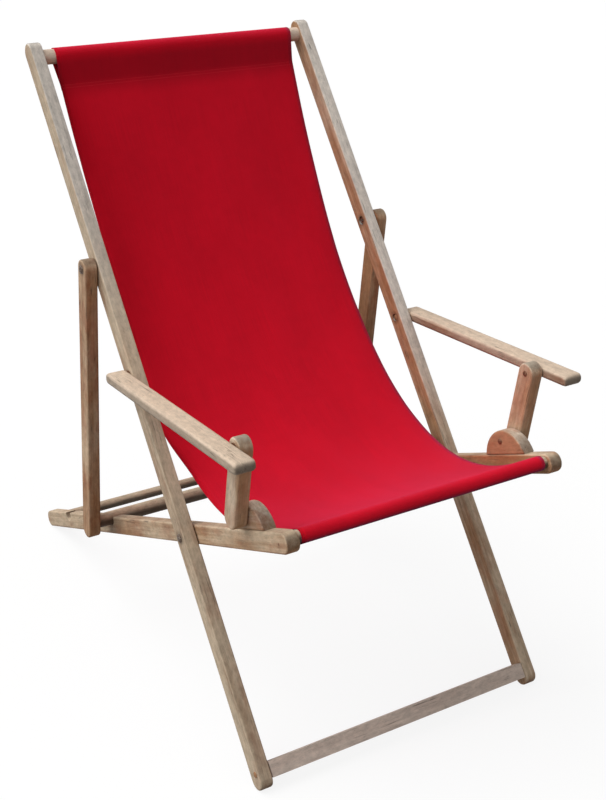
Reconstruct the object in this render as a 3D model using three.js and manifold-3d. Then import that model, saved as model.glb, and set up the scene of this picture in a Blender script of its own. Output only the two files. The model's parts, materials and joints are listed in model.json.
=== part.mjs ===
// Steamer deck chair: a hardwood folding frame, a prop frame that drops into notches,
// arm rests on posts, and a canvas sling between the head bar and the front bar.
// Millimetres. +X is to the right seen from the front, +Y runs to the rear, +Z is up.
// Left and right in the names are as seen from the front.
// The origin lies on the floor, under the middle of the chair's length and width.
import * as THREE from 'three';
import { mergeVertices } from 'three/addons/utils/BufferGeometryUtils.js';
import Module from 'manifold-3d';

const wasm = await Module();
wasm.setup();

// Wood stock and the fit between pieces
const railWide = 22;          // every rail, strut, post and block, across the chair
const railDeep = 32;          // every rail and strut, seen from the side
const ease = 2.5;             // rounding of the wood's long edges
const gap = 0.3;              // clearance where two pieces touch
const washerThick = 0.9;
const tenonDeep = 14;         // how far a round bar goes into a rail
const overrun = 4;            // how far a cut runs past a face
const slingWide = 440;        // canvas, which sets the chair's width
const slingClear = 4.5;       // canvas edge to the inner face of a seat rail

// Main frame: two long rails that lean back, a head bar and a foot bar
const mainAngle = THREE.MathUtils.degToRad(52);
const mainLength = 1238;      // between the centres of the round ends
const footFlat = 1;           // cut off the lowest point of each rail
const headBarRadius = 12.5;
const headBarAlong = 1228;    // from the foot's centre
const footBarTall = 25;
const footBarDeep = 20;
const footBarAlong = 9.5;     // from the foot's centre to the bar's middle

// Seat frame: two notched rails on the floor at the rear, hinged to the main rails
const pivotAlong = 389;       // main frame hinge, up from the foot's centre
const seatRearReach = 745;    // hinge to the rear end's centre
const seatFrontReach = 304;   // hinge to the front end's centre
const seatBarRadius = 10;
const frontBarInset = 2;      // front bar, back from the rail's end centre
const frontBarLift = 3;       // front bar, above the rail's middle
const rearBarInset = 18;
const notchAlong = 374;       // hinge to the first notch, in which the prop bar lies
const notchCount = 3;
const lastNotchInset = 123;   // last notch, forward from the rear end's centre
const notchLift = 14;         // notch centre, above the rail's middle
const notchClearance = 0.5;

// Prop frame: two struts hinged on the main rails, with a bar that lies in the notches
const propPivotAlong = 851;
const propTail = 11;          // bar to the centre of the strut's lower round end
const propBarRadius = 12.5;

// Arm rests, posts and the half round blocks that carry the posts
const armWide = 34;
const armThick = 18;
const armCorner = 8;
const armEase = 5;            // rounding of the arm rest's long edges
const armPivotAlong = 662;    // on the main rail
const armRearOverhang = 14;
const armFrontOverhang = 68;
const armPostForward = 51;    // post's top hinge, to the rear of the main foot's centre
const armPostHeight = 561;    // post's top hinge, above the floor
const postDeep = 33;
const blockChord = 100;
const blockTall = 39.5;
const blockInset = 97;        // block's middle, back from the seat rail's front end
const postPivotInset = 102;   // post's lower hinge, back from the same end
const postPivotLift = 38;     // and above the seat rail's middle

// Bolts, screws, washers and pins
const boltRadius = 3;
const boltHeadRadius = 7.5;
const boltHeadTall = 3.2;
const boltTail = 2;           // thread that shows past the nut
const nutRadius = 6;
const nutSides = 6;
const nutTall = 4.8;
const screwHeadRadius = 5;
const screwHeadTall = 2.2;
const screwBite = 15;         // how far a screw goes into the far piece
const recessEase = 1.5;       // room round a nut or a head that is let into a rail
const footScrewRadius = 2.2;
const slotWide = 1.2;
const slotDeep = 1.3;
const washerRadius = 9;
const pinRadius = 4;
const pinLong = 28;
const pinSpread = 52;

// Sling: one length of canvas with a sleeve at each end
const slingHeadSpread = 8;    // each edge, on the head bar
const slingSpreadFrom = 700;  // height at which it begins to spread
const slingThick = 1.6;
const slingBackAngle = THREE.MathUtils.degToRad(61.7);   // steepness where it leaves the head bar
const slingSeatAngle = THREE.MathUtils.degToRad(35.7);   // steepness where it meets the front bar
const slingBackShare = 0.635;  // curve handles, as shares of the distance between the bars
const slingSeatShare = 0.405;

// Smoothness
const roundSteps = 8;
const cornerSteps = 3;
const turnSteps = 16;
const barSteps = 28;
const easeSteps = 2;
const slingSteps = 40;

// Layers across the chair, each a rail wide with a washer between
const layerStep = railWide + washerThick + 2 * gap;
const seatInner = slingWide / 2 + slingClear;
const seatLayer = seatInner + railWide / 2;
const mainLayer = seatLayer + layerStep;
const outerLayer = mainLayer + layerStep;
const armLayer = outerLayer - railWide / 2 + armWide / 2;

const wood = {
  outer: new THREE.MeshStandardMaterial({ color: 0xb5a58c, roughness: 0.75, metalness: 0 }),
  inner: new THREE.MeshStandardMaterial({ color: 0xa8896f, roughness: 0.75, metalness: 0 }),
  arm: new THREE.MeshStandardMaterial({ color: 0xd2c0b2, roughness: 0.8, metalness: 0 }),
  block: new THREE.MeshStandardMaterial({ color: 0xa77263, roughness: 0.75, metalness: 0 }),
  bar: new THREE.MeshStandardMaterial({ color: 0xb49c8b, roughness: 0.7, metalness: 0 }),
};
const steel = new THREE.MeshStandardMaterial({ color: 0xa09c96, roughness: 0.35, metalness: 0.9 });
const canvas = new THREE.MeshStandardMaterial({ color: 0xb01a2e, roughness: 0.9, metalness: 0 });

// Frames of the side view: x to the rear, y up, turned about the chair's width
const footHeight = railDeep / 2 - footFlat;
const origin = new THREE.Vector2(0, 0);
function placed(frame, along, up = 0) {
  return new THREE.Vector2(along, up).rotateAround(origin, frame.turn).add(frame.at);
}
function seenFrom(frame, point) {
  return point.clone().sub(frame.at).rotateAround(origin, -frame.turn);
}
function angleTo(from, to) {
  return Math.atan2(to.y - from.y, to.x - from.x);
}

const mainFrame = { at: new THREE.Vector2(0, footHeight), turn: mainAngle };
const pivot = placed(mainFrame, pivotAlong);
const seatAngle = Math.asin((pivot.y - footHeight) / seatRearReach);
const seatFrame = { at: pivot, turn: -seatAngle };

const propPivot = placed(mainFrame, propPivotAlong);
const heldBar = placed(seatFrame, notchAlong, notchLift);
const propBarReach = propPivot.distanceTo(heldBar);
const propFrame = { at: propPivot, turn: angleTo(propPivot, heldBar) };

const armPivot = placed(mainFrame, armPivotAlong);
const armFront = new THREE.Vector2(armPostForward, armPostHeight);
const armReach = armPivot.distanceTo(armFront);
const armFrame = { at: armPivot, turn: angleTo(armFront, armPivot) };

const blockForward = seatFrontReach - blockInset;
const postPivotForward = seatFrontReach - postPivotInset;
const postPivot = placed(seatFrame, -postPivotForward, postPivotLift);
const postLength = postPivot.distanceTo(armFront);
const postFrame = { at: postPivot, turn: angleTo(postPivot, armFront) };

// The whole chair, moved so that its length is centred on the origin
const chair = new THREE.Group();
const frontReach = pivot.x - seatFrontReach * Math.cos(seatAngle) - railDeep / 2;
const rearReach = pivot.x + seatRearReach * Math.cos(seatAngle) + railDeep / 2;
const sideView = new THREE.Group();
sideView.quaternion.setFromRotationMatrix(new THREE.Matrix4().makeBasis(
  new THREE.Vector3(0, 1, 0), new THREE.Vector3(0, 0, 1), new THREE.Vector3(1, 0, 0)));
sideView.position.y = -(frontReach + rearReach) / 2;
chair.add(sideView);

function groupOf(frame) {
  const group = new THREE.Group();
  group.position.set(frame.at.x, frame.at.y, 0);
  group.rotation.z = frame.turn;
  sideView.add(group);
  return group;
}
const mainGroup = groupOf(mainFrame);
const seatGroup = groupOf(seatFrame);
const propGroup = groupOf(propFrame);
const armGroup = groupOf(armFrame);
const postGroup = groupOf(postFrame);

function add(group, name, geometry, material, x = 0, y = 0, across = 0) {
  const mesh = new THREE.Mesh(geometry, material);
  mesh.name = name;
  mesh.position.set(x, y, across);
  group.add(mesh);
}

// Closed geometry to a solid that can be cut, and back
function solidOf(geometry) {
  const bare = geometry.clone();
  bare.deleteAttribute('normal');
  bare.deleteAttribute('uv');
  const merged = mergeVertices(bare);
  return new wasm.Manifold(new wasm.Mesh({
    numProp: 3,
    vertProperties: new Float32Array(merged.attributes.position.array),
    triVerts: new Uint32Array(merged.index.array),
  }));
}
function geometryOf(solid) {
  const mesh = solid.getMesh();
  const geometry = new THREE.BufferGeometry();
  geometry.setAttribute('position', new THREE.BufferAttribute(mesh.vertProperties, 3));
  geometry.setIndex(new THREE.BufferAttribute(mesh.triVerts, 1));
  geometry.computeVertexNormals();
  return geometry;
}
function cut(geometry, cutters) {
  return geometryOf(cutters.reduce((solid, cutter) => solid.subtract(solidOf(cutter)), solidOf(geometry)));
}

// A board cut to an outline, with eased edges, centred on its thickness
function board(outline, thick, easing = ease, steps = roundSteps) {
  const geometry = new THREE.ExtrudeGeometry(outline, {
    depth: thick - 2 * easing, bevelThickness: easing, bevelSize: easing, bevelOffset: -easing,
    bevelSegments: easeSteps, curveSegments: steps,
  });
  return geometry.translate(0, 0, easing - thick / 2);
}
function roundEnded(start, end, deep) {
  const outline = new THREE.Shape();
  outline.absarc(end, 0, deep / 2, -Math.PI / 2, Math.PI / 2, false);
  outline.absarc(start, 0, deep / 2, Math.PI / 2, 3 * Math.PI / 2, false);
  return outline;
}

// Round pieces and bores that run across the chair
function roundBar(radius, length, steps = barSteps) {
  return new THREE.CylinderGeometry(radius, radius, length, steps).rotateX(Math.PI / 2);
}
function throughBore(radius, x, y, steps = turnSteps) {
  return roundBar(radius + gap, railWide + 2 * overrun, steps).translate(x, y, 0);
}
function blindBore(radius, x, y, side, deep, wide = railWide, steps = barSteps) {
  const middle = side * (deep - wide - overrun) / 2;
  return roundBar(radius + gap, deep + overrun, steps).translate(x, y, middle);
}

// What lies under the floor at a rail's end, to cut the flat that it stands on
function belowFloor(frame, along) {
  const block = new THREE.BoxGeometry(2 * railDeep, railDeep, 2 * railWide);
  block.translate(0, -footHeight - railDeep / 2, 0);
  return block.rotateZ(-frame.turn).translate(along, 0, 0);
}

// Dome headed bolt or screw: the head stands on z = 0 and the shank runs to -z
function headed(headRadius, headTall, shankRadius, length) {
  const domeShares = [0, 0.45, 0.85, 1];
  const tip = shankRadius / 2;
  const profile = [
    new THREE.Vector2(0, -length),
    new THREE.Vector2(shankRadius - tip / 2, -length),
    new THREE.Vector2(shankRadius, tip - length),
    new THREE.Vector2(shankRadius, 0),
  ];
  for (const share of [...domeShares].reverse()) {
    profile.push(new THREE.Vector2(headRadius * share, headTall * Math.sqrt(1 - share ** 2)));
  }
  return new THREE.LatheGeometry(profile, turnSteps).rotateX(Math.PI / 2);
}
function ring(outer, inner, thick) {
  const profile = [[inner, -thick / 2], [outer, -thick / 2], [outer, thick / 2], [inner, thick / 2],
    [inner, -thick / 2]].map(([x, y]) => new THREE.Vector2(x, y));
  return new THREE.LatheGeometry(profile, turnSteps).rotateX(Math.PI / 2);
}
function hexNut() {
  const body = roundBar(nutRadius, nutTall, nutSides);
  return cut(body, [roundBar(boltRadius + gap, nutTall + 2 * overrun, turnSteps)]);
}
function slotted(geometry, headRadius, headTall) {
  const slot = new THREE.BoxGeometry(2 * headRadius, slotWide, 2 * slotDeep);
  return cut(geometry, [slot.translate(0, 0, headTall)]);
}
function turned(geometry, side) {
  return side > 0 ? geometry : geometry.rotateY(Math.PI);
}

const sides = [['left', -1], ['right', 1]];

// Main rails: holes for three hinges, sockets for the head bar, a screw hole for the foot bar.
// The prop hinge's nut and the arm rest's screw head are let in, so that the folding seat rail clears them.
const footBarUp = railDeep / 2 - footBarDeep / 2;
const nutRecess = nutTall + boltTail + 2 * gap;
const headRecess = screwHeadTall + 2 * gap;
for (const [name, side] of sides) {
  const rail = cut(board(roundEnded(0, mainLength, railDeep), railWide), [
    throughBore(boltRadius, pivotAlong, 0),
    throughBore(boltRadius, propPivotAlong, 0),
    throughBore(boltRadius, armPivotAlong, 0),
    throughBore(footScrewRadius, footBarAlong, footBarUp),
    blindBore(headBarRadius, headBarAlong, 0, side, tenonDeep),
    blindBore(nutRadius + recessEase, propPivotAlong, 0, side, nutRecess, railWide, turnSteps),
    blindBore(screwHeadRadius + recessEase, armPivotAlong, 0, side, headRecess, railWide, turnSteps),
    belowFloor(mainFrame, 0),
  ]);
  add(mainGroup, `main_rail_${name}`, rail, wood.outer, 0, 0, side * mainLayer);
}
const mainInner = mainLayer - railWide / 2;
const headBarLong = 2 * (mainInner + tenonDeep - gap);
add(mainGroup, 'head_bar', roundBar(headBarRadius, headBarLong), wood.bar, headBarAlong);

// Foot bar: a flat rail between the feet, flush with their front edges
const footBarOutline = new THREE.Shape([
  new THREE.Vector2(-footBarTall / 2, -footBarDeep / 2),
  new THREE.Vector2(footBarTall / 2, -footBarDeep / 2),
  new THREE.Vector2(footBarTall / 2, footBarDeep / 2),
  new THREE.Vector2(-footBarTall / 2, footBarDeep / 2)]);
const footBarLong = 2 * (mainInner - gap);
const footScrewBores = [-1, 1].map((side) => (
  roundBar(footScrewRadius + gap, 2 * (screwBite + gap), turnSteps).translate(0, 0, side * footBarLong / 2)));
const footBar = cut(board(footBarOutline, footBarLong, ease / 2), footScrewBores);
add(mainGroup, 'foot_bar', footBar, wood.bar, footBarAlong, footBarUp);

// Seat rails: the outline dips into a round bottomed notch for each place of the prop bar
const notchPitch = (seatRearReach - lastNotchInset - notchAlong) / (notchCount - 1);
function seatRailOutline() {
  const top = railDeep / 2;
  const radius = propBarRadius + notchClearance;
  const outline = new THREE.Shape();
  outline.absarc(seatRearReach, 0, top, -Math.PI / 2, Math.PI / 2, false);
  for (let place = notchCount - 1; place >= 0; place -= 1) {
    const x = notchAlong + place * notchPitch;
    outline.lineTo(x + radius, top);
    outline.absarc(x, notchLift, radius, 0, -Math.PI, true);
    outline.lineTo(x - radius, top);
  }
  outline.absarc(-seatFrontReach, 0, top, Math.PI / 2, 3 * Math.PI / 2, false);
  return outline;
}
const frontBarAt = frontBarInset - seatFrontReach;
const rearBarAt = seatRearReach - rearBarInset;
const pinPlaces = [-1, 1].map((end) => end * pinSpread / 2 - blockForward);
function pinBore(x, y) {
  const radius = pinRadius + gap;
  return new THREE.CylinderGeometry(radius, radius, pinLong + 2 * gap, turnSteps).translate(x, y, 0);
}
for (const [name, side] of sides) {
  const rail = cut(board(seatRailOutline(), railWide), [
    throughBore(boltRadius, 0, 0),
    blindBore(seatBarRadius, frontBarAt, frontBarLift, side, tenonDeep),
    blindBore(seatBarRadius, rearBarAt, 0, side, tenonDeep),
    ...pinPlaces.map((x) => pinBore(x, railDeep / 2)),
    belowFloor(seatFrame, seatRearReach),
  ]);
  add(seatGroup, `seat_rail_${name}`, rail, wood.inner, 0, 0, side * seatLayer);
}
const seatBarLong = 2 * (seatInner + tenonDeep - gap);
add(seatGroup, 'seat_front_bar', roundBar(seatBarRadius, seatBarLong), wood.bar, frontBarAt, frontBarLift);
add(seatGroup, 'seat_rear_bar', roundBar(seatBarRadius, seatBarLong), wood.bar, rearBarAt);

// Half round blocks on the seat rails, each on two wooden pins
const blockRadius = ((blockChord / 2) ** 2 + blockTall ** 2) / (2 * blockTall);
const blockSweep = Math.acos((blockRadius - blockTall) / blockRadius);
const blockFoot = railDeep / 2 + gap;
const blockOutline = new THREE.Shape();
const blockCentre = blockTall - blockRadius;
blockOutline.absarc(0, blockCentre, blockRadius, Math.PI / 2 - blockSweep, Math.PI / 2 + blockSweep, false);
for (const [name, side] of sides) {
  const block = cut(board(blockOutline, railWide), [
    throughBore(boltRadius, blockForward - postPivotForward, postPivotLift - blockFoot),
    ...pinPlaces.map((x) => pinBore(x + blockForward, -gap)),
  ]);
  add(seatGroup, `arm_block_${name}`, block, wood.block, -blockForward, blockFoot, side * seatLayer);
  pinPlaces.forEach((x, index) => {
    const pin = new THREE.CylinderGeometry(pinRadius, pinRadius, pinLong, turnSteps);
    add(seatGroup, `block_pin_${name}_${index + 1}`, pin, wood.bar, x, railDeep / 2, side * seatLayer);
  });
}

// Prop frame
for (const [name, side] of sides) {
  const strut = cut(board(roundEnded(0, propBarReach + propTail, railDeep), railWide), [
    throughBore(boltRadius, 0, 0),
    blindBore(propBarRadius, propBarReach, 0, side, tenonDeep),
  ]);
  add(propGroup, `prop_strut_${name}`, strut, wood.outer, 0, 0, side * outerLayer);
}
const propBarLong = 2 * (outerLayer - railWide / 2 + tenonDeep - gap);
add(propGroup, 'prop_bar', roundBar(propBarRadius, propBarLong), wood.bar, propBarReach);

// Arm rests: a long board, hinged near its rear end on a screw from inside the main rail
function armOutline() {
  const rear = armRearOverhang - armCorner;
  const front = armCorner - armReach - armFrontOverhang;
  const up = armThick / 2 - armCorner;
  const outline = new THREE.Shape();
  outline.absarc(rear, -up, armCorner, -Math.PI / 2, 0, false);
  outline.absarc(rear, up, armCorner, 0, Math.PI / 2, false);
  outline.absarc(front, up, armCorner, Math.PI / 2, Math.PI, false);
  outline.absarc(front, -up, armCorner, Math.PI, 3 * Math.PI / 2, false);
  return outline;
}
for (const [name, side] of sides) {
  const arm = cut(board(armOutline(), armWide, armEase, cornerSteps), [
    blindBore(boltRadius, 0, 0, side, screwBite + gap, armWide, turnSteps),
  ]);
  add(armGroup, `arm_rest_${name}`, arm, wood.arm, 0, 0, side * armLayer);
}

// Arm posts: a bored hole at the top for the arm's screw, a socket at the foot for the block's
for (const [name, side] of sides) {
  const post = cut(board(roundEnded(0, postLength, postDeep), railWide), [
    throughBore(boltRadius, postLength, 0),
    blindBore(boltRadius, 0, 0, side, screwBite + gap, railWide, turnSteps),
  ]);
  add(postGroup, `arm_post_${name}`, post, wood.block, 0, 0, side * mainLayer);
}

// Hinge bolts: the head is outside, the nut on the innermost face or let into it
function hingeBolt(group, hinge, x, headLayer, nutLayer, name, side, recess = 0) {
  const grip = headLayer - nutLayer + railWide + 2 * gap - recess;
  const bolt = turned(headed(boltHeadRadius, boltHeadTall, boltRadius, grip + nutTall + boltTail), side);
  add(group, `${hinge}_bolt_${name}`, bolt, steel, x, 0, side * (headLayer + railWide / 2 + gap));
  const nutFace = nutLayer - railWide / 2 - gap + recess;
  add(group, `${hinge}_nut_${name}`, hexNut(), steel, x, 0, side * (nutFace - nutTall / 2));
  const washer = ring(washerRadius, boltRadius + gap, washerThick);
  add(group, `${hinge}_washer_${name}`, washer, steel, x, 0, side * (nutLayer + layerStep / 2));
}
// Hinge screws: the head is inside, on the face or let into it, the tip in the piece outside it
function hingeScrew(group, hinge, x, y, layer, length, name, side, recess = 0) {
  const blank = headed(screwHeadRadius, screwHeadTall, boltRadius, length - recess);
  const screw = turned(slotted(blank, screwHeadRadius, screwHeadTall), -side);
  add(group, `${hinge}_screw_${name}`, screw, steel, x, y, side * (layer - railWide / 2 - gap + recess));
  const washer = ring(washerRadius, boltRadius + gap, washerThick);
  add(group, `${hinge}_washer_${name}`, washer, steel, x, y, side * (layer + layerStep / 2));
}
const throughLong = railWide + gap + (layerStep - railWide) + screwBite;
for (const [name, side] of sides) {
  hingeBolt(mainGroup, 'seat_hinge', pivotAlong, mainLayer, seatLayer, name, side);
  hingeBolt(mainGroup, 'prop_hinge', propPivotAlong, outerLayer, mainLayer, name, side, nutRecess);
  hingeScrew(mainGroup, 'arm_rear', armPivotAlong, 0, mainLayer, throughLong, name, side, headRecess);
  hingeScrew(seatGroup, 'post_foot', -postPivotForward, postPivotLift, seatLayer, throughLong, name, side);
  hingeScrew(postGroup, 'post_top', postLength, 0, mainLayer, railWide, name, side);
  const footScrewLong = railWide + gap + screwBite;
  const blank = headed(screwHeadRadius, screwHeadTall, footScrewRadius, footScrewLong);
  const screw = turned(slotted(blank, screwHeadRadius, screwHeadTall), side);
  const footFace = mainLayer + railWide / 2 + gap;
  add(mainGroup, `foot_screw_${name}`, screw, steel, footBarAlong, footBarUp, side * footFace);
}

// Sling: a band along one curve, with a sleeve round the head bar and one round the front bar
function slingSpread(height, top) {
  const share = Math.max(0, (height - slingSpreadFrom) / (top - slingSpreadFrom));
  return 1 + 2 * slingHeadSpread / slingWide * share;
}
function sleeve(centre, radius) {
  const outline = new THREE.Shape();
  outline.absarc(centre.x, centre.y, radius + gap + slingThick, 0, 2 * Math.PI, false);
  return outline;
}
function slingPiece(outline) {
  const across = { depth: slingWide, bevelEnabled: false, curveSegments: barSteps };
  return solidOf(new THREE.ExtrudeGeometry(outline, across).translate(0, 0, -slingWide / 2));
}
function slingSolid() {
  const head = placed(mainFrame, headBarAlong);
  const front = placed(seatFrame, frontBarAt, frontBarLift);
  const span = head.distanceTo(front);
  const turnOff = gap + slingThick / 2;
  const headRound = headBarRadius + turnOff;
  const frontRound = seatBarRadius + turnOff;
  const behindHead = new THREE.Vector2(Math.sin(slingBackAngle), -Math.cos(slingBackAngle));
  const overFront = new THREE.Vector2(Math.sin(slingSeatAngle), Math.cos(slingSeatAngle));
  const start = behindHead.multiplyScalar(headRound).add(head);
  const end = overFront.multiplyScalar(frontRound).add(front);
  const down = new THREE.Vector2(-Math.cos(slingBackAngle), -Math.sin(slingBackAngle));
  const back = new THREE.Vector2(Math.cos(slingSeatAngle), -Math.sin(slingSeatAngle));
  const curve = new THREE.CubicBezierCurve(start, down.multiplyScalar(span * slingBackShare).add(start),
    back.multiplyScalar(span * slingSeatShare).add(end), end);
  const upper = [];
  const lower = [];
  for (const point of curve.getSpacedPoints(slingSteps)) {
    const share = upper.length / slingSteps;
    const tangent = curve.getTangentAt(share);
    const offset = new THREE.Vector2(-tangent.y, tangent.x).multiplyScalar(slingThick / 2);
    upper.push(point.clone().add(offset));
    lower.push(point.clone().sub(offset));
  }
  const band = slingPiece(new THREE.Shape([...upper, ...lower.reverse()]));
  const boreLong = slingWide + 2 * (slingHeadSpread + overrun);
  const bore = (centre, radius) => solidOf(roundBar(radius + gap, boreLong).translate(centre.x, centre.y, 0));
  const sleeves = slingPiece(sleeve(head, headBarRadius)).add(slingPiece(sleeve(front, seatBarRadius)));
  return band.add(sleeves).warp((point) => { point[2] *= slingSpread(point[1], head.y); })
    .subtract(bore(head, headBarRadius)).subtract(bore(front, seatBarRadius));
}
add(sideView, 'sling', geometryOf(slingSolid()), canvas);

export default chair;
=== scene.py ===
# A steamer deck chair: a weathered hardwood frame that folds, and a red canvas sling.
# Metres. +X is to the right seen from the front, +Y runs to the rear, +Z is up.
import json
import math

import bpy
from mathutils import Euler, Matrix, Vector


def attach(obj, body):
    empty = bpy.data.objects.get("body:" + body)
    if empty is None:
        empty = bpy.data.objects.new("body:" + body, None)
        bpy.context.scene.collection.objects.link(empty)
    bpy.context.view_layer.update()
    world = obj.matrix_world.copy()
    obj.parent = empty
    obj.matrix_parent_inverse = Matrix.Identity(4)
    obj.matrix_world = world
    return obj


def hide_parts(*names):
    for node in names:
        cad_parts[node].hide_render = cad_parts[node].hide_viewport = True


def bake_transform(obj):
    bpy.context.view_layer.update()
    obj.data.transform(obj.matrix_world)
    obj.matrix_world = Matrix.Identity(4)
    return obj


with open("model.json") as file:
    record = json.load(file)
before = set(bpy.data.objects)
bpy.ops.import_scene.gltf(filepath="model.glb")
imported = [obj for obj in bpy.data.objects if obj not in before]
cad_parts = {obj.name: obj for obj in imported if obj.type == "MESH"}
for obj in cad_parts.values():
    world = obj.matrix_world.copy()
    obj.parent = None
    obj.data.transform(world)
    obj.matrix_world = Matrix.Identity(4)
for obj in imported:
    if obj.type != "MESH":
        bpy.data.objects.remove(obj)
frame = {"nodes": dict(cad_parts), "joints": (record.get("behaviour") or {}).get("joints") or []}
nodes = frame["nodes"]
hinges = {joint["name"]: joint["pos_m"] for joint in frame["joints"]}
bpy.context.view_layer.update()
scene = bpy.context.scene
scene.view_settings.view_transform = "Standard"

# The view: from the front left and a little above the arm rests, with a long lens,
# as the chair was photographed.
camera_at = (-1.02844, -1.82457, 1.37930)
camera_turn = math.radians(-31.1976)
camera_dip = math.radians(24.6424)
camera_roll = math.radians(0.3647)
camera_lens = 58.9695
turned = Matrix.Rotation(camera_turn, 3, "Z") @ Matrix.Rotation(math.pi / 2 - camera_dip, 3, "X")
turned = turned @ Matrix.Rotation(camera_roll, 3, "Z")
camera = bpy.data.objects.new("camera", bpy.data.cameras.new("camera"))
camera.data.lens = camera_lens
camera.data.sensor_width = 36
camera.location = camera_at
camera.rotation_euler = turned.to_euler()
scene.collection.objects.link(camera)
scene.camera = camera

# Main rails: two long round-ended rails of hardwood that has greyed outdoors, planed, with eased
# edges, and bored for the bolts and the head bar. The outer faces and the tops are silver, the
# right rail's top the palest, and the sheltered inner faces keep their red-brown.
rail_wide = 0.022
rail_deep = 0.032
main_layer = 0.259
main_turn = math.radians(52)
main_long = 1.238
foot = (0, -0.440462, 0.015)


class Wire:
    """A number, colour or vector on its way through a node graph. Sums and products add nodes."""

    def __init__(self, graph, socket):
        self.graph, self.socket = graph, socket

    def __add__(self, other):
        return self.graph.math("ADD", self, other)

    def __sub__(self, other):
        return self.graph.math("SUBTRACT", self, other)

    def __rsub__(self, other):
        return self.graph.math("SUBTRACT", other, self)

    def __mul__(self, other):
        return self.graph.math("MULTIPLY", self, other)

    def __truediv__(self, other):
        return self.graph.math("DIVIDE", self, other)

    def __abs__(self):
        return self.graph.math("ABSOLUTE", self)

    __radd__ = __add__
    __rmul__ = __mul__

    def __getitem__(self, name):
        """Another output of the node that this wire comes from."""
        return Wire(self.graph, self.socket.node.outputs[name])


class Graph:
    """A material's or a modifier's node tree."""

    def __init__(self, tree):
        self.tree = tree

    def node(self, kind, inputs=None, out=0, **settings):
        """A node of that kind. Its settings go in first, then its inputs, wires or plain values."""
        made = self.tree.nodes.new(kind)
        for name, value in settings.items():
            setattr(made, name, value)
        for name, value in (inputs or {}).items():
            if isinstance(value, Wire):
                self.tree.links.new(value.socket, made.inputs[name])
            else:
                made.inputs[name].default_value = value
        return Wire(self, made.outputs[out]) if len(made.outputs) else made

    def math(self, operation, first, second=0.0):
        return self.node("ShaderNodeMath", {0: first, 1: second}, operation=operation)

    def vector(self, operation, first, second=(0, 0, 0), out=0):
        inputs = {0: first, 1: second}
        return self.node("ShaderNodeVectorMath", inputs, out=out, operation=operation)

    def scaled(self, vector, by):
        return self.node("ShaderNodeVectorMath", {0: vector, "Scale": by}, operation="SCALE")

    def rise(self, value, low, high):
        """0 below low, 1 above high, and smooth between them."""
        settings = {"Value": value, "From Min": low, "From Max": high}
        return self.node("ShaderNodeMapRange", settings, interpolation_type="SMOOTHSTEP")

    def between(self, value, starts, stops):
        """Rises to 1 over the two starts and falls back to 0 over the two stops."""
        return self.rise(value, *starts) * (1 - self.rise(value, *stops))

    def seen(self):
        """1 for what the camera sees, itself or in a shiny face, and 0 for light on the chair."""
        rays = self.node("ShaderNodeLightPath")
        kinds = rays["Is Camera Ray"] + rays["Is Glossy Ray"] + rays["Is Transmission Ray"]
        return self.math("MINIMUM", kinds, 1)

    def noise(self, vector, scale, detail=2.0, roughness=0.5):
        settings = {"Vector": vector, "Scale": scale, "Detail": detail, "Roughness": roughness}
        return self.node("ShaderNodeTexNoise", settings)

    def blend(self, share, first, second, mode="MIX"):
        inputs = {0: share, 6: first, 7: second}
        return self.node("ShaderNodeMix", inputs, out=2, data_type="RGBA", blend_type=mode)


def paint(red, green, blue):
    """A colour as a screen shows it, 0 to 255, as the light values that a shader takes."""
    shown = [value / 255 for value in (red, green, blue)]
    return (*[v / 12.92 if v < 0.04045 else ((v + 0.055) / 1.055) ** 2.4 for v in shown], 1)


def new_finish(name):
    material = bpy.data.materials.new(name)
    material.use_nodes = True
    material.node_tree.nodes.clear()
    return material, Graph(material.node_tree)


def finished(graph, shader):
    graph.node("ShaderNodeOutputMaterial", {"Surface": shader})


pale = paint(208, 201, 193)
silver = paint(190, 171, 147)
brown = paint(154, 114, 80)
russet = paint(144, 86, 58)
edge_zone = 0.8          # share of the half width where an edge's wear begins
darker_below = 0.22          # height below which the wood is darker towards the floor
wander = 0.006           # how far a fibre strays sideways
grime_reach = 0.015      # from a bolt's middle to the end of its dark ring
grime = 0.34             # how dark that ring is
ring_core = 0.53         # share of a mark's size over which it is at its full strength
bleach_fade = 0.3        # height over which the sun's bleaching sets in


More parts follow.
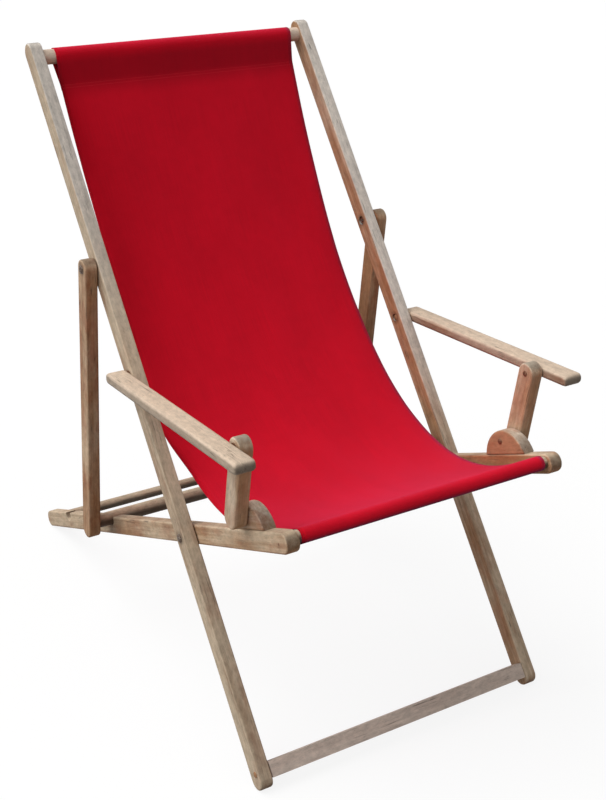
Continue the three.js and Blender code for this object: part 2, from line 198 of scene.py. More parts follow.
def weathered_wood(name, origin, turn, layer=0, half=(rail_wide / 2, rail_deep / 2), length=10.0,
                   bolts=(), marks=(), greyed=0.5, red=0.5, light=1.0, warmth=(1, 1, 1),
                   sheltered=0.2, painted_side_shade=0.0, bleach=0.0, bleach_from=0.35):
    """Open grained wood whose fibres run along the piece. Origin and turn place the grain, layer is
    how far the piece's middle stands from the chair's middle, half is half its width and depth,
    length is where its far end lies, and bolts are places along it. Marks are darker places,
    painted
    shade in recesses or darker patches: along, above the middle line, size and strength. Sheltered
    is how much less an inner face has greyed, the side shade how much darker the sides and
    undersides are painted than the top, as painted shade, and bleach how far the sun has whitened
    the tops above bleach from. Greyed, red, light and warmth set the colour."""
    material, g = new_finish(name)
    turned_by = Euler(turn).to_matrix()
    moved = -(turned_by @ Vector(origin))
    spot = g.node("ShaderNodeTexCoord", out="Object")
    own = g.node("ShaderNodeMapping", {"Vector": spot, "Location": moved, "Rotation": turn})
    place = g.node("ShaderNodeSeparateXYZ", {"Vector": own})
    along, up = place["Y"], place["Z"]
    across = g.node("ShaderNodeSeparateXYZ", {"Vector": spot})

    # Fibres wander a little sideways as they run along the piece
    strayed = g.noise(g.vector("MULTIPLY", own, (1, 0.14, 1)), 16)["Color"]
    strayed = g.scaled(g.vector("SUBTRACT", strayed, (0.5, 0.5, 0.5)), wander)
    fibres = g.vector("ADD", own, strayed)
    band = g.noise(g.vector("MULTIPLY", fibres, (1, 0.03, 1)), 150, 3, 0.6)
    fibre = g.noise(g.vector("MULTIPLY", fibres, (1, 0.022, 1)), 1300, 2, 0.6)
    pore = g.rise(g.noise(g.vector("MULTIPLY", fibres, (1, 0.07, 1)), 1900, 1), 0.6, 0.7)
    split = g.noise(g.vector("MULTIPLY", fibres, (1, 0.02, 1)), 210, 1)
    split = (1 - g.rise(abs(split - 0.5), 0.004, 0.014)) * g.rise(g.noise(own, 23, 1), 0.5, 0.62)
    patch = g.noise(g.vector("MULTIPLY", own, (1, 0.3, 1)), 17, 3, 0.6)
    stain = g.noise(g.vector("MULTIPLY", own, (1, 0.35, 1)), 42, 3, 0.65)
    mottle = g.noise(g.vector("MULTIPLY", own, (1, 0.5, 1)), 120, 3, 0.65)

    # What the weather reached: tops and outer faces are greyer than sheltered ones
    facing = spot["Normal"]
    upward = g.node("ShaderNodeSeparateXYZ", {"Vector": facing})
    outward = upward["X"] * g.math("SIGN", across["X"])
    reached = greyed + 0.36 * upward["Z"] + sheltered * outward
    reached = reached + 1.5 * (patch - 0.5) + 0.7 * (band - 0.5)
    colour = g.blend(g.rise(reached, 0.1, 0.9), brown, silver)
    reddened = red * g.rise(stain, 0.46, 0.66) * (1 - 0.55 * g.rise(reached, 0.45, 1.1))
    colour = g.blend(reddened, colour, russet)
    bleached = bleach * g.rise(across["Z"], bleach_from, bleach_from + bleach_fade)
    bleached = bleached * g.rise(upward["Z"], 0.2, 0.6)
    colour = g.blend(bleached, colour, pale)

    # Section of the piece: worn long edges, end grain, grime round the bolts
    beyond = g.math("MAXIMUM", g.math("MAXIMUM", 0 - along, along - length), 0)
    sideways = abs(abs(across["X"]) - layer) / half[0]
    deep = g.math("SQRT", up * up + beyond * beyond) / half[1]
    worn = g.rise(g.math("MINIMUM", sideways, deep), edge_zone, 1.02)
    run = turned_by.inverted() @ Vector((0, 1, 0))
    end_grain = g.rise(abs(g.vector("DOT_PRODUCT", facing, run, out="Value")), 0.45, 0.95)
    shade = light + 0.5 * (band - 0.5) + 0.28 * (fibre - 0.5)
    shade = shade + 0.3 * (patch - 0.5) + 0.95 * (mottle - 0.5)
    shade = shade * (1 - 0.26 * pore) * (1 - 0.5 * split)
    shade = shade * (1 + 0.1 * worn) * (1 - 0.46 * end_grain)
    # Darker towards the floor, below that height.
    shade = shade * (0.92 + 0.08 * g.rise(across["Z"], 0, darker_below))
    rings = [(bolt, 0, grime_reach, grime) for bolt in bolts]
    # Grime rings round the bolts, then the given marks: painted shade in recesses, or darker
    # patches.
    for at, above, size, strength in rings + list(marks):
        aside, over = along - at, up - above
        distance = g.math("SQRT", aside * aside + over * over)
        shade = shade * (1 - strength * (1 - g.rise(distance, ring_core * size, size)))
    # Painted shade: the sides and undersides are darker than the top.
    shade = shade * (1 - painted_side_shade * (1 - g.rise(upward["Z"], 0.1, 0.8)))
    colour = g.vector("MULTIPLY", g.scaled(colour, shade), warmth)

    relief = 0.4 * fibre + 0.35 * band - 0.45 * pore - 0.9 * split
    bump = g.node("ShaderNodeBump", {"Strength": 0.55, "Distance": 0.0005, "Height": relief})
    rough = 0.7 + 0.2 * (fibre - 0.5) + 0.1 * pore - 0.1 * worn
    shader = g.node("ShaderNodeBsdfPrincipled", {
        "Base Color": colour, "Roughness": rough, "Normal": bump, "Specular IOR Level": 0.3})
    finished(g, shader)
    return material


def new_tree(name, sockets):
    """A modifier tree that takes and gives a geometry and has the named inputs."""
    tree = bpy.data.node_groups.new(name, "GeometryNodeTree")
    tree.interface.new_socket("Geometry", in_out="INPUT", socket_type="NodeSocketGeometry")
    for label, kind in sockets.items():
        tree.interface.new_socket(label, in_out="INPUT", socket_type=kind)
    tree.interface.new_socket("Geometry", in_out="OUTPUT", socket_type="NodeSocketGeometry")
    return tree


def give(modifier, tree, values):
    """Sets a modifier's tree and the tree's named inputs."""
    modifier.node_group = tree
    for item in tree.interface.items_tree:
        if item.in_out == "INPUT" and item.name in values:
            modifier[item.identifier] = values[item.name]


def smooth_edges():
    """A modifier tree that joins a CAD piece's loose triangles and shades its eased edges round."""
    tree = new_tree("joined and eased", {"Crease angle": "NodeSocketFloat"})
    g = Graph(tree)
    given = g.node("NodeGroupInput")
    joined = g.node("GeometryNodeMergeByDistance", {"Geometry": given, "Distance": 0.00001})
    rounded = g.node("GeometryNodeSetShadeSmooth",
                     {"Geometry": joined, "Shade Smooth": True}, domain="FACE")
    angle = g.node("GeometryNodeInputMeshEdgeAngle")
    sharp = g.node("FunctionNodeCompare",
                   {0: angle, 1: given["Crease angle"]}, operation="GREATER_THAN")
    creased = g.node("GeometryNodeSetShadeSmooth", {
        "Geometry": rounded, "Selection": sharp, "Shade Smooth": False}, domain="EDGE")
    g.node("NodeGroupOutput", {"Geometry": creased})
    return tree


crease = math.radians(50)      # a sharper edge than this stays sharp
eased_tree = smooth_edges()


def dress(names, material):
    """Gives CAD pieces their finish and their rounded shading."""
    for name in names:
        piece = nodes[name]
        for socket in piece.material_slots:
            socket.material = material
        if not piece.material_slots:
            piece.data.materials.append(material)
        give(piece.modifiers.new("eased", "NODES"), eased_tree, {"Crease angle": crease})
        level = piece.modifiers.new("level", "WEIGHTED_NORMAL")
        level.keep_sharp = True


def pair(name):
    return [f"{name}_left", f"{name}_right"]


def side_place(origin, along, up, turn):
    """The (y, z) of a point given along and above a piece's line, in the side view."""
    return (origin[1] + along * math.cos(turn) - up * math.sin(turn),
            origin[2] + along * math.sin(turn) + up * math.cos(turn))


main_bolts = (0.389, 0.662, 0.851)
# The right rail's finish is a lighter copy, painted light on its inner face where the canvas shades
# it, and its top bleaches from lower down.
for side, light, bleach_from in (("left", 1.02, 0.55), ("right", 1.16, 0.3)):
    rail_finish = weathered_wood(f"weathered main rail {side}", foot, (-main_turn, 0, 0),
                                 main_layer, length=main_long, bolts=main_bolts, greyed=0.56,
                                 red=0.35, light=light, bleach=0.8, bleach_from=bleach_from)
    dress([f"main_rail_{side}"], rail_finish)

# Head bar and foot bar: the round bar is let into blind sockets near the rails' tops,
# the flat foot bar is screwed between the feet. Both are the same hardwood, greyed and
# handled smooth, with the grain across the chair.
head_bar_along = 1.228
foot_bar_along = 0.0095
foot_bar_lift = 0.006
head_bar_at = (0, *side_place(foot, head_bar_along, 0, main_turn))
foot_bar_at = (0, *side_place(foot, foot_bar_along, foot_bar_lift, main_turn))
whole_bar = (1, 1)         # half sizes so large that no edge shows wear
across_turn = (0, 0, math.pi / 2)
head_finish = weathered_wood("weathered head bar", head_bar_at, across_turn, half=whole_bar,
                             greyed=0.8, red=0.15, light=1.42, warmth=(1, 1, 1.1))
# The foot bar's sides and underside get a little painted shade.
foot_finish = weathered_wood("weathered foot bar", foot_bar_at, across_turn, half=whole_bar,
                             greyed=0.9, red=0.15, light=1.27, warmth=(1, 1.03, 1.22),
                             painted_side_shade=0.1)
dress(["head_bar"], head_finish)
dress(["foot_bar"], foot_finish)

# Seat rails: notched rails of the same stock, that stand on the floor at the rear and carry
# the front bar. Their inner faces are sheltered by the canvas and keep most of their red-brown.
seat_layer = 0.2355
seat_turn = math.radians(-24.2965)
seat_hinge = hinges["fold"]
notches = (0.374, 0.498, 0.622)
darker_patches_at = (0.374, 0.47)     # where the seat rails are darker beside the prop frame
# The seat rails' marks: painted shade in the notches, and darker patches beside the prop frame.
seat_marks = [(at, rail_deep / 2, 0.015, 0.6) for at in notches]
seat_marks += [(at, rail_deep / 2, 0.07, 0.3) for at in darker_patches_at]
seat_finish = weathered_wood("weathered seat rail", seat_hinge, (-seat_turn, 0, 0), seat_layer,
                             bolts=(0,), marks=seat_marks, greyed=0.36, red=0.4, light=1.07,
                             warmth=(1, 0.98, 0.95))
dress(pair("seat_rail"), seat_finish)

# Seat bars: turned hardwood bars of 20 mm, glued into blind sockets in the seat rails. Their sides
# and undersides are painted darker than the top, painted shade, like the prop bar's.
front_bar_along = -0.302
front_bar_lift = 0.003
rear_bar_along = 0.727
front_bar_at = (0, *side_place(seat_hinge, front_bar_along, front_bar_lift, seat_turn))
rear_bar_at = (0, *side_place(seat_hinge, rear_bar_along, 0, seat_turn))
bar_finish = weathered_wood("weathered seat bar", rear_bar_at, across_turn, half=whole_bar,
                            greyed=0.55, red=0.5, light=1.12, painted_side_shade=0.78)
dress(["seat_front_bar", "seat_rear_bar"], bar_finish)

# Prop frame: two struts of the same hardwood, bolted outside the main rails, and a round bar
# between them that drops into the seat rails' notches.
prop_layer = 0.2825
prop_turn = math.radians(-82.9812)
prop_hinge = hinges["prop"]
prop_long = 0.520
prop_bar_along = 0.509
prop_finish = weathered_wood("weathered prop strut", prop_hinge, (-prop_turn, 0, 0), prop_layer,
                             length=prop_long, bolts=(0,), greyed=0.3, red=0.5, light=1.04,
                             warmth=(1, 0.92, 0.86))
dress(pair("prop_strut"), prop_finish)
prop_bar_at = (0, *side_place(prop_hinge, prop_bar_along, 0, prop_turn))
# The prop bar's sides and underside are painted darker than its top, painted shade.
prop_bar_finish = weathered_wood("weathered prop bar", prop_bar_at, across_turn, half=whole_bar,
                                 greyed=0.55, red=0.5, light=1.12, painted_side_shade=0.78)
dress(["prop_bar"], prop_bar_finish)

# Arm rests: flat hardwood boards, bleached pale on top by the sun and worn smooth by hands.
# Each turns on a screw from the main rail and lies on its post.
arm_layer = 0.2885
arm_turn = math.radians(-3.9046)
arm_hinge = hinges["arm_left"]
# The arm rests' sides are painted darker than their tops, painted shade.
arm_finish = weathered_wood("bleached arm rest", arm_hinge, (-arm_turn, 0, 0), arm_layer,
                            half=(0.017, 0.009), greyed=0.85, red=0.1, light=1.22,
                            warmth=(1, 0.99, 1.04), painted_side_shade=0.42)
dress(pair("arm_rest"), arm_finish)

# Arm posts and the half round blocks under them: shorter pieces of a redder board,
# the blocks on two wooden pins each.
post_turn = math.radians(99.3401)
post_hinge = hinges["post_left"]
post_long = 0.1233
block_along = -0.207
block_lift = 0.016
post_finish = weathered_wood("weathered arm post", post_hinge, (-post_turn, 0, 0), main_layer,
                             half=(0.011, 0.0165), length=post_long, greyed=0.4, red=0.3,
                             light=1.27, warmth=(1, 1.05, 1.12), sheltered=0.02)
dress(pair("arm_post"), post_finish)
block_at = (0, *side_place(seat_hinge, block_along, block_lift, seat_turn))
block_finish = weathered_wood("red block wood", block_at, (-seat_turn, 0, 0), seat_layer,
                              half=(0.011, 1), greyed=0.25, red=0.5, light=1.26,
                              warmth=(1, 1.1, 1.24))
dress(pair("arm_block"), block_finish)
dress([f"block_pin_{side}_{count}" for side in ("left", "right") for count in (1, 2)], bar_finish)

# Bolts, nuts, washers and screws: zinc plated steel, dull with brown bloom in the low spots.
# The domed bolt heads are outside, the nuts inside or let into the rails. The screws of the
# arm rests and of the foot bar have taken the wood's brown.
plated = paint(158, 152, 143)
bloom = paint(84, 62, 47)
rust = paint(122, 84, 62)


def plated_steel(name, tarnish, stain):
    material, g = new_finish(name)
    spot = g.node("ShaderNodeTexCoord", out="Object")
    cloud = g.noise(spot, 380, 3, 0.6)
    scratch = g.noise(g.vector("MULTIPLY", spot, (1, 1, 0.2)), 2200, 1)
    dulled = g.rise(cloud + tarnish, 0.5, 0.85)
    colour = g.blend(dulled, plated, stain)
    bump = g.node("ShaderNodeBump",
                  {"Strength": 0.3, "Distance": 0.0002, "Height": scratch + dulled})
    shader = g.node("ShaderNodeBsdfPrincipled", {
        "Base Color": colour, "Metallic": 1 - 0.65 * dulled, "Normal": bump,
        "Roughness": 0.26 + 0.14 * scratch + 0.3 * dulled})
    finished(g, shader)
    return material


bright_steel = plated_steel("plated steel", 0.3, bloom)
dull_steel = plated_steel("rusted steel", 0.45, rust)
brown_steel = plated_steel("browned steel", 1.0, brown)
dress(pair("seat_hinge_bolt") + pair("prop_hinge_bolt"), bright_steel)
browned = pair("arm_rear_screw") + pair("foot_screw")
small_steel = [name for name in nodes if any(word in name for word in ("nut", "washer", "screw"))]
dress([name for name in small_steel if name not in browned], dull_steel)
dress(browned, brown_steel)

# Front bar nails: one panel pin through each seat rail's outer face holds the front bar.
# The heads are driven flush and have rusted dark.
nail_radius = 0.0021
nail_stand = 0.0006
nail_along = -0.2955
nail_lift = -0.001
nail_line = 0.00001           # so short that the beads on its two ends are one head
nail_apart = 1.0              # longer than the line, so no bead stands between them


def points_object(name, points, edges=()):
    """An object that only holds the points, or the lines, that a modifier tree works along."""
    mesh = bpy.data.meshes.new(name)
    mesh.from_pydata([Vector(point) for point in points], list(edges), [])
    made = bpy.data.objects.new(name, mesh)
    scene.collection.objects.link(made)
    return made


def grown(name, base, tree, values):
    """Runs the tree on the base object with its named inputs, and keeps the plain mesh."""
    give(base.modifiers.new("grow", "NODES"), tree, values)
    bpy.context.view_layer.update()
    graph = bpy.context.evaluated_depsgraph_get()
    mesh = bpy.data.meshes.new_from_object(base.evaluated_get(graph), depsgraph=graph)
    bpy.data.objects.remove(base)
    mesh.name = name
    made = bpy.data.objects.new(name, mesh)
    scene.collection.objects.link(made)
    return made


def bead_tree():
    """Small flattened beads, set on points or spaced along lines: nail heads and stitches."""
    tree = new_tree("beads along lines", {
        "Spacing": "NodeSocketFloat", "Size": "NodeSocketVector", "Finish": "NodeSocketMaterial"})
    g = Graph(tree)
    given = g.node("NodeGroupInput")
    line = g.node("GeometryNodeMeshToCurve", {"Mesh": given})
    even = g.node("GeometryNodeResampleCurve",
                  {"Curve": line, "Length": given["Spacing"]}, mode="LENGTH")
    bead = g.node("GeometryNodeMeshUVSphere", {"Segments": 8, "Rings": 5, "Radius": 0.5})
    rounded = g.node("GeometryNodeSetShadeSmooth", {"Geometry": bead})
    sized = g.node("GeometryNodeTransform", {"Geometry": rounded, "Scale": given["Size"]})
    placed = g.node("GeometryNodeInstanceOnPoints", {"Points": even, "Instance": sized})
    real = g.node("GeometryNodeRealizeInstances", {"Geometry": placed})
    coloured = g.node("GeometryNodeSetMaterial", {"Geometry": real, "Material": given["Finish"]})
    g.node("NodeGroupOutput", {"Geometry": coloured})
    return tree


beads = bead_tree()
nail_y, nail_z = side_place(seat_hinge, nail_along, nail_lift, seat_turn)
nail_face = seat_layer + rail_wide / 2
nail_points = [(side * (nail_face + end), nail_y, nail_z)
               for side in (-1, 1) for end in (0, nail_line)]
nail_places = points_object("nail places", nail_points, [(0, 1), (2, 3)])
nails = grown("front_bar_nails", nail_places, beads, {
    "Spacing": nail_apart, "Size": (2 * nail_stand, 2 * nail_radius, 2 * nail_radius),
    "Finish": dull_steel})
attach(nails, "seat_frame")

# Sling: one length of red plain weave canvas with selvedge edges. Each end is turned over
# its bar and sewn down as a sleeve, behind the back rest at the head and under the seat at
# the front.
cloth_wide = 0.436
head_spread = 0.010           # how far the weave has drawn wider at the head, on each side
spread_from = 0.63            # height where it begins
left_drift = 0.0125           # how far the left edge is drawn out beside the left arm
drift_from_seam = 0.6         # run from the head seam to that place
drift_reach = 0.12            # run over which it fades, to both sides
slack_wave = 0.006            # height of the slack waves where the cloth hangs free
slack_reach = 0.12            # run over which they set in
curl = 0.0016                 # how far the edges curl back
curl_wide = 0.035             # width of the strip that curls
sheet_columns = 49            # points of the sheet across
sheet_rows = 481              # and along
cloth_thick = 0.0012
head_wrap = 0.0136            # bar's middle to the middle of the cloth round it
front_wrap = 0.0111           # the same at the front bar
back_slope = math.radians(64.5)
seat_slope = math.radians(20.7)
back_handle = 0.9885          # handles of the cloth's curve, as shares of the distance
seat_handle = 0.045           # between the bars
head_sleeve = 0.047           # bar's middle to the seam
front_sleeve = 0.04           # where the cloth leaves the bar, to the seam
turn_in = 0.011               # seam to the sleeve's raw edge
ply_gap = 0.0014              # between the middles of two plies
head_bend = 0.02              # length of the soft bend above the head seam
leave_front = math.pi / 2 - seat_slope      # angle at which the cloth leaves the front bar
line_step = 0.001             # spacing of the points along the cloth's path
turn_step = 0.0015            # and round a bar
bend_count = 16               # steps along the soft bend
ply_count = 600               # and along the main ply


def flat(point):
    return Vector((point[0], point[1]))


def bezier(points, share):
    rest = 1 - share
    weights = (rest ** 3, 3 * rest ** 2 * share, 3 * rest * share ** 2, share ** 3)
    return sum((weight * point for weight, point in zip(weights, points)), Vector((0, 0)))


def spaced(points, step):
    """Points at equal steps along a line of points."""
    out, left = [points[0]], step
    for start, end in zip(points, points[1:]):
        span = (end - start).length
        while span >= left:
            start = start + (end - start) * (left / span)
            span -= left
            left = step
            out.append(start)
        left -= span
    return out


def wrapped(centre, radius, start, end):
    """Points round a bar from one angle to another, in radians."""
    count = max(2, round(abs(end - start) * radius / turn_step))
    angles = [start + (end - start) * index / count for index in range(count + 1)]
    return [centre + radius * Vector((math.cos(a), math.sin(a))) for a in angles]


def beside(line, index, gap):
    """A point of the line, moved to its left by the gap."""
    run = (line[index + 1] - line[index - 1]).normalized()
    return line[index] + gap * Vector((-run.y, run.x))


def head_sleeve_line(centre, radius, main):
    """From the raw edge up behind the main ply to the seam, up to the bar's back and over it, and
    down from its front to the seam, from where it runs on as the main ply."""
    line = spaced(main, line_step)
    lap = [beside(line, index, ply_gap) for index in range(round(turn_in / line_step), 0, -1)]
    away = line[0] - centre
    facing, spread = math.atan2(away.y, away.x), math.acos(radius / away.length)
    sweep = -2 * spread % (2 * math.pi)
    over = wrapped(centre, radius, facing + spread, facing + spread + sweep)
    bend = line[0] + (over[-1] - line[0]).normalized() * head_bend
    low = line[3]
    bends = [bend, bend.lerp(line[0], 2 / 3), low.lerp(line[0], 2 / 3), low]
    bent = [bezier(bends, index / bend_count) for index in range(bend_count + 1)]
    return lap, over + bent, line[4:]


def front_sleeve_line(centre, radius, main):
    """From the raw edge along the underside of the main ply to the seam, over to the bar and round
    it to where the main ply leaves it."""
    line = spaced(main, line_step)
    seam, edge = round(front_sleeve / line_step), round((front_sleeve + turn_in) / line_step)
    lap = [beside(line, index, -ply_gap) for index in range(edge, seam - 1, -1)]
    away = lap[-1] - centre
    touch = math.atan2(away.y, away.x) - math.acos(radius / away.length)
    sweep = (touch - leave_front) % (2 * math.pi)
    return lap, wrapped(centre, radius, touch, touch - sweep)


head = flat(head_bar_at[1:])
front = flat(front_bar_at[1:])
down = -Vector((math.cos(back_slope), math.sin(back_slope)))
cloth_start = head + head_sleeve * down
cloth_end = front + front_wrap * Vector((math.cos(leave_front), math.sin(leave_front)))
span = (head - front).length
back = Vector((math.cos(seat_slope), -math.sin(seat_slope)))
handles = [cloth_start, cloth_start + span * back_handle * down,
           cloth_end + span * seat_handle * back, cloth_end]
main_ply = [bezier(handles, index / ply_count) for index in range(ply_count + 1)]
head_lap, head_turn, lower_ply = head_sleeve_line(head, head_wrap, main_ply)
front_lap, front_turn = front_sleeve_line(front, front_wrap, main_ply[::-1])
cloth_line = head_lap + head_turn + lower_ply[:-1] + front_turn[::-1] + front_lap[::-1]
cloth_long = sum((b - a).length for a, b in zip(cloth_line, cloth_line[1:]))
head_end = turn_in + head_sleeve + sum((b - a).length for a, b in zip(head_turn, head_turn[1:]))
front_end = turn_in + front_sleeve + sum((b - a).length for a, b in zip(front_turn, front_turn[1:]))
roll_from = cloth_long - front_end      # where the cloth meets the front bar

canvas_red = paint(228, 6, 34)
canvas_deep = paint(203, 3, 27)
yarn = 0.0009                 # spacing of the yarns
edge_shade_wide = (0.007, 0.004)      # from the edge, where the painted shade along the edges starts and is full
pocket_starts = (-0.01, 0.012)      # painted shade on the head pocket, from the top of its front
pocket_stops = (-0.014, 0.03)       # and round the seam
roll_starts = (0.021, 0.033)        # painted shade under the front bar, from where the cloth meets it
roll_stops = (0.04, 0.05)


def red_canvas():
    """Plain weave cotton canvas, dyed red: yarns over and under, faded a little along the warp,
    with painted shade along its edges, on the head pocket's front and under the front roll."""
    material, g = new_finish("red canvas")
    spot = g.node("ShaderNodeUVMap", uv_map="cloth")
    place = g.node("ShaderNodeSeparateXYZ", {"Vector": spot})
    warp = g.math("SINE", place["X"] * (math.pi / yarn))
    weft = g.math("SINE", place["Y"] * (math.pi / yarn))
    over = g.math("GREATER_THAN", warp * weft, 0)
    weave = over * abs(warp) + (1 - over) * abs(weft)
    slub = g.noise(g.vector("MULTIPLY", spot, (1, 0.02, 1)), 520, 2)
    faded = g.noise(g.vector("MULTIPLY", spot, (1, 0.5, 1)), 9, 2)
    rubbed = g.noise(spot, 60, 3)
    painted_edge_shade = g.rise(abs(place["X"]), *(cloth_wide / 2 - inset for inset in edge_shade_wide))
    share = 0.5 + 0.9 * (faded - 0.5) + 0.5 * (slub - 0.5) + 0.3 * (rubbed - 0.5)
    colour = g.blend(g.rise(share, 0, 1), canvas_deep, canvas_red)
    painted_pocket_shade = g.between(place["Y"], [head_end - head_sleeve + part for part in pocket_starts],
                       [head_end + part for part in pocket_stops])
    painted_roll_shade = g.between(place["Y"], [roll_from + part for part in roll_starts],
                     [roll_from + part for part in roll_stops])
    # Painted shade: darker along the edges, on the head pocket's front and under the front roll.
    shade = (0.86 + 0.14 * weave) * (1 - 0.12 * painted_edge_shade) * (1 - 0.36 * painted_pocket_shade) * (1 - 0.84 * painted_roll_shade)
    bump = g.node("ShaderNodeBump",
                  {"Strength": 0.4, "Distance": 0.00025, "Height": weave + 0.8 * slub})
    shader = g.node("ShaderNodeBsdfPrincipled", {
        "Base Color": g.scaled(colour, shade), "Roughness": 0.9, "Normal": bump,
        "Specular IOR Level": 0.12, "Sheen Weight": 0.18, "Sheen Roughness": 0.5,
        "Sheen Tint": (1, 0.35, 0.9, 1)})
    finished(g, shader)
    return material


def hung_cloth_tree():
    """A sheet laid along the path that it is given, with slight slack waves where it hangs free."""
    tree = new_tree("hung cloth", {
        "Width": "NodeSocketFloat", "Length": "NodeSocketFloat", "Columns": "NodeSocketInt",
        "Rows": "NodeSocketInt", "Wave": "NodeSocketFloat", "Free from": "NodeSocketFloat",
        "Free to": "NodeSocketFloat", "Spread": "NodeSocketFloat", "Spread from": "NodeSocketFloat",
        "Spread to": "NodeSocketFloat", "Drift": "NodeSocketFloat", "Drift at": "NodeSocketFloat",
        "Finish": "NodeSocketMaterial"})
    g = Graph(tree)
    given = g.node("NodeGroupInput")
    path = g.node("GeometryNodeMeshToCurve", {"Mesh": given})
    sheet = g.node("GeometryNodeMeshGrid", {
        "Size X": given["Width"], "Size Y": given["Length"],
        "Vertices X": given["Columns"], "Vertices Y": given["Rows"]})
    place = g.node("ShaderNodeSeparateXYZ", {"Vector": g.node("GeometryNodeInputPosition")})
    run = place["Y"] + given["Length"] * 0.5
    mapped = g.node("GeometryNodeStoreNamedAttribute", {
        "Geometry": sheet, "Name": "cloth",
        "Value": g.node("ShaderNodeCombineXYZ", {"X": place["X"], "Y": run})},
        data_type="FLOAT2", domain="CORNER")
    line = g.node("GeometryNodeSampleCurve",
                  {"Curves": path, "Length": run}, out="Position", mode="LENGTH")
    outward = g.vector("CROSS_PRODUCT", line["Tangent"], (1, 0, 0))
    free = g.between(run, (given["Free from"], given["Free from"] + slack_reach),
                     (given["Free to"] - slack_reach, given["Free to"]))
    spot = g.node("ShaderNodeCombineXYZ", {"X": place["X"], "Y": run * 0.45})
    slack = (g.noise(spot, 5.5, 1) - 0.5) + 0.35 * (g.noise(spot, 19, 1) - 0.5)
    edge = g.rise(abs(place["X"]), given["Width"] * 0.5 - curl_wide, given["Width"] * 0.5)
    lift = free * (slack * given["Wave"] - edge * edge * curl)
    height = g.node("ShaderNodeSeparateXYZ", {"Vector": line})["Z"]
    drawn = g.node("ShaderNodeMapRange", {
        "Value": height, "From Min": given["Spread from"], "From Max": given["Spread to"]})
    near = 1 - g.rise(abs(run - given["Drift at"]), 0, drift_reach)
    left = g.rise(0 - place["X"], 0, given["Width"] * 0.5)
    sideways = place["X"] * (1 + 2 * given["Spread"] / given["Width"] * drawn)
    sideways = sideways - given["Drift"] * near * left
    moved = g.vector("ADD", g.vector("ADD", line, g.node("ShaderNodeCombineXYZ", {"X": sideways})),
                     g.scaled(outward, lift))
    hung = g.node("GeometryNodeSetPosition", {"Geometry": mapped, "Position": moved})
    front_out = g.node("GeometryNodeFlipFaces", {"Mesh": hung})
    rounded = g.node("GeometryNodeSetShadeSmooth", {"Geometry": front_out})
    real = g.node("GeometryNodeRealizeInstances", {"Geometry": rounded})
    coloured = g.node("GeometryNodeSetMaterial", {"Geometry": real, "Material": given["Finish"]})
    g.node("NodeGroupOutput", {"Geometry": coloured})
    return tree


canvas = red_canvas()
line_points = [(0, point.x, point.y) for point in cloth_line]
line_edges = [(index, index + 1) for index in range(len(line_points) - 1)]
sling_line = points_object("sling line", line_points, line_edges)
sling = grown("canvas_sling", sling_line, hung_cloth_tree(), {
    "Width": cloth_wide, "Length": cloth_long, "Columns": sheet_columns, "Rows": sheet_rows,
    "Wave": slack_wave,
    "Spread": head_spread, "Spread from": spread_from, "Spread to": head.y,
    "Drift": left_drift, "Drift at": head_end + drift_from_seam,
    "Free from": head_end, "Free to": cloth_long - front_end - front_sleeve, "Finish": canvas})
thickness = sling.modifiers.new("thickness", "SOLIDIFY")
thickness.thickness = cloth_thick
thickness.offset = 0
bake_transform(sling)
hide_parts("sling")

# Seams: two rows of lockstitch in red thread hold each sleeve. They are seen on both sides of
# the cloth.
stitch_step = 0.0042
stitch_size = (0.003, 0.0006, 0.0006)
row_insets = (0.003, 0.008)   # from the sleeve's raw edge
row_end = 0.004               # from a row's end to the cloth's edge
thread_turns = 9000           # twist of the sewing thread


def red_thread():
    material, g = new_finish("red thread")
    spot = g.node("ShaderNodeTexCoord", out="Object")
    twist = g.math("SINE", g.node("ShaderNodeSeparateXYZ", {"Vector": spot})["X"] * thread_turns)
    colour = g.blend(0.5 + 0.3 * twist, canvas_deep, canvas_red)
    bump = g.node("ShaderNodeBump", {"Strength": 0.3, "Distance": 0.0001, "Height": twist})
    shader = g.node("ShaderNodeBsdfPrincipled",
                    {"Base Color": colour, "Roughness": 0.6, "Normal": bump})
    finished(g, shader)
    return material


def stitch_rows(lap, away):
    """Lines across the cloth for a seam's rows, on the turned ply's face and the main ply's."""
    rows = []
    for inset in row_insets:
        index = round(inset / line_step)
        run = (lap[index + 1] - lap[index - 1]).normalized()
        out = away * Vector((-run.y, run.x))
        for offset in (cloth_thick / 2, -ply_gap - cloth_thick / 2):
            y, z = lap[index] + out * offset
            drawn = head_spread * min(max((z - spread_from) / (head.y - spread_from), 0), 1)
            reach = cloth_wide / 2 + drawn - row_end
            rows += [(-reach, y, z), (reach, y, z)]
    return rows


seam_points = stitch_rows(head_lap, -1) + stitch_rows(front_lap, 1)
seam_edges = [(index, index + 1) for index in range(0, len(seam_points), 2)]
seams = grown("sleeve_seams", points_object("seam lines", seam_points, seam_edges), beads, {
    "Spacing": stitch_step, "Size": stitch_size, "Finish": red_thread()})
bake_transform(seams)

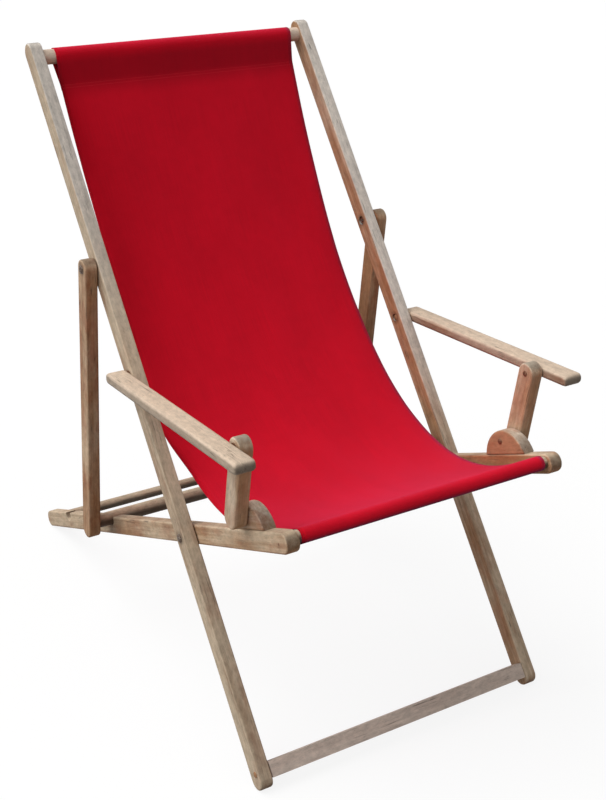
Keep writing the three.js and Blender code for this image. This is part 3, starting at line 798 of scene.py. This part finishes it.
# The studio: a pale floor that runs off to white. Soft light comes from the upper left, weaker
# light from low on the left, and an even fill from everywhere.
pure_white = (1, 1, 1, 1)
floor_greys = ((0.2, 0.2, 0.2, 1), (0.22, 0.22, 0.22, 1))      # for the light on the chair
floor_reach = 40
floor_drop = 0.0005           # just under the feet
key_from = Vector((-0.48, 0.34, 0.81))
key_strength = 2.3
lamp_softness = math.radians(60)
side_from = Vector((-0.85, -0.3, 0.15))
side_strength = 0.6
fill_strength = 0.42
glow_share = 0.86             # the rest of the floor's colour shows the chair's shadow
floor_mesh = bpy.data.meshes.new("floor")
corners = [(x * floor_reach, y * floor_reach, -floor_drop)
           for x, y in ((-1, -1), (1, -1), (1, 1), (-1, 1))]
floor_mesh.from_pydata(corners, [], [(0, 1, 2, 3)])
floor = bpy.data.objects.new("floor", floor_mesh)
scene.collection.objects.link(floor)
floor_finish, g = new_finish("pale floor")
grit = g.noise(g.node("ShaderNodeTexCoord", out="Object"), 90, 2)
seen = g.seen()
floor_colour = g.blend(seen, g.blend(grit, *floor_greys), pure_white)
plain = g.node("ShaderNodeBsdfPrincipled", {
    "Base Color": floor_colour, "Roughness": 0.9, "Specular IOR Level": 0.0})
glow = g.node("ShaderNodeEmission", {"Color": pure_white, "Strength": 1.0})
finished(g, g.node("ShaderNodeMixShader", {0: seen * glow_share, 1: plain, 2: glow}))
floor_mesh.materials.append(floor_finish)

world = bpy.data.worlds.new("studio")
world.use_nodes = True
world.node_tree.nodes.clear()
scene.world = world
g = Graph(world.node_tree)
fill = g.node("ShaderNodeBackground", {"Color": pure_white, "Strength": fill_strength})
backdrop = g.node("ShaderNodeBackground", {"Color": pure_white, "Strength": 1.0})
both = g.node("ShaderNodeMixShader", {0: g.seen(), 1: fill, 2: backdrop})
g.node("ShaderNodeOutputWorld", {"Surface": both})
lamps = (("key light", key_from, key_strength), ("side light", side_from, side_strength))
for name, comes_from, strength in lamps:
    lamp = bpy.data.objects.new(name, bpy.data.lights.new(name, "SUN"))
    lamp.data.energy = strength
    lamp.data.angle = lamp_softness
    lamp.rotation_euler = comes_from.to_track_quat("Z", "Y").to_euler()
    scene.collection.objects.link(lamp)
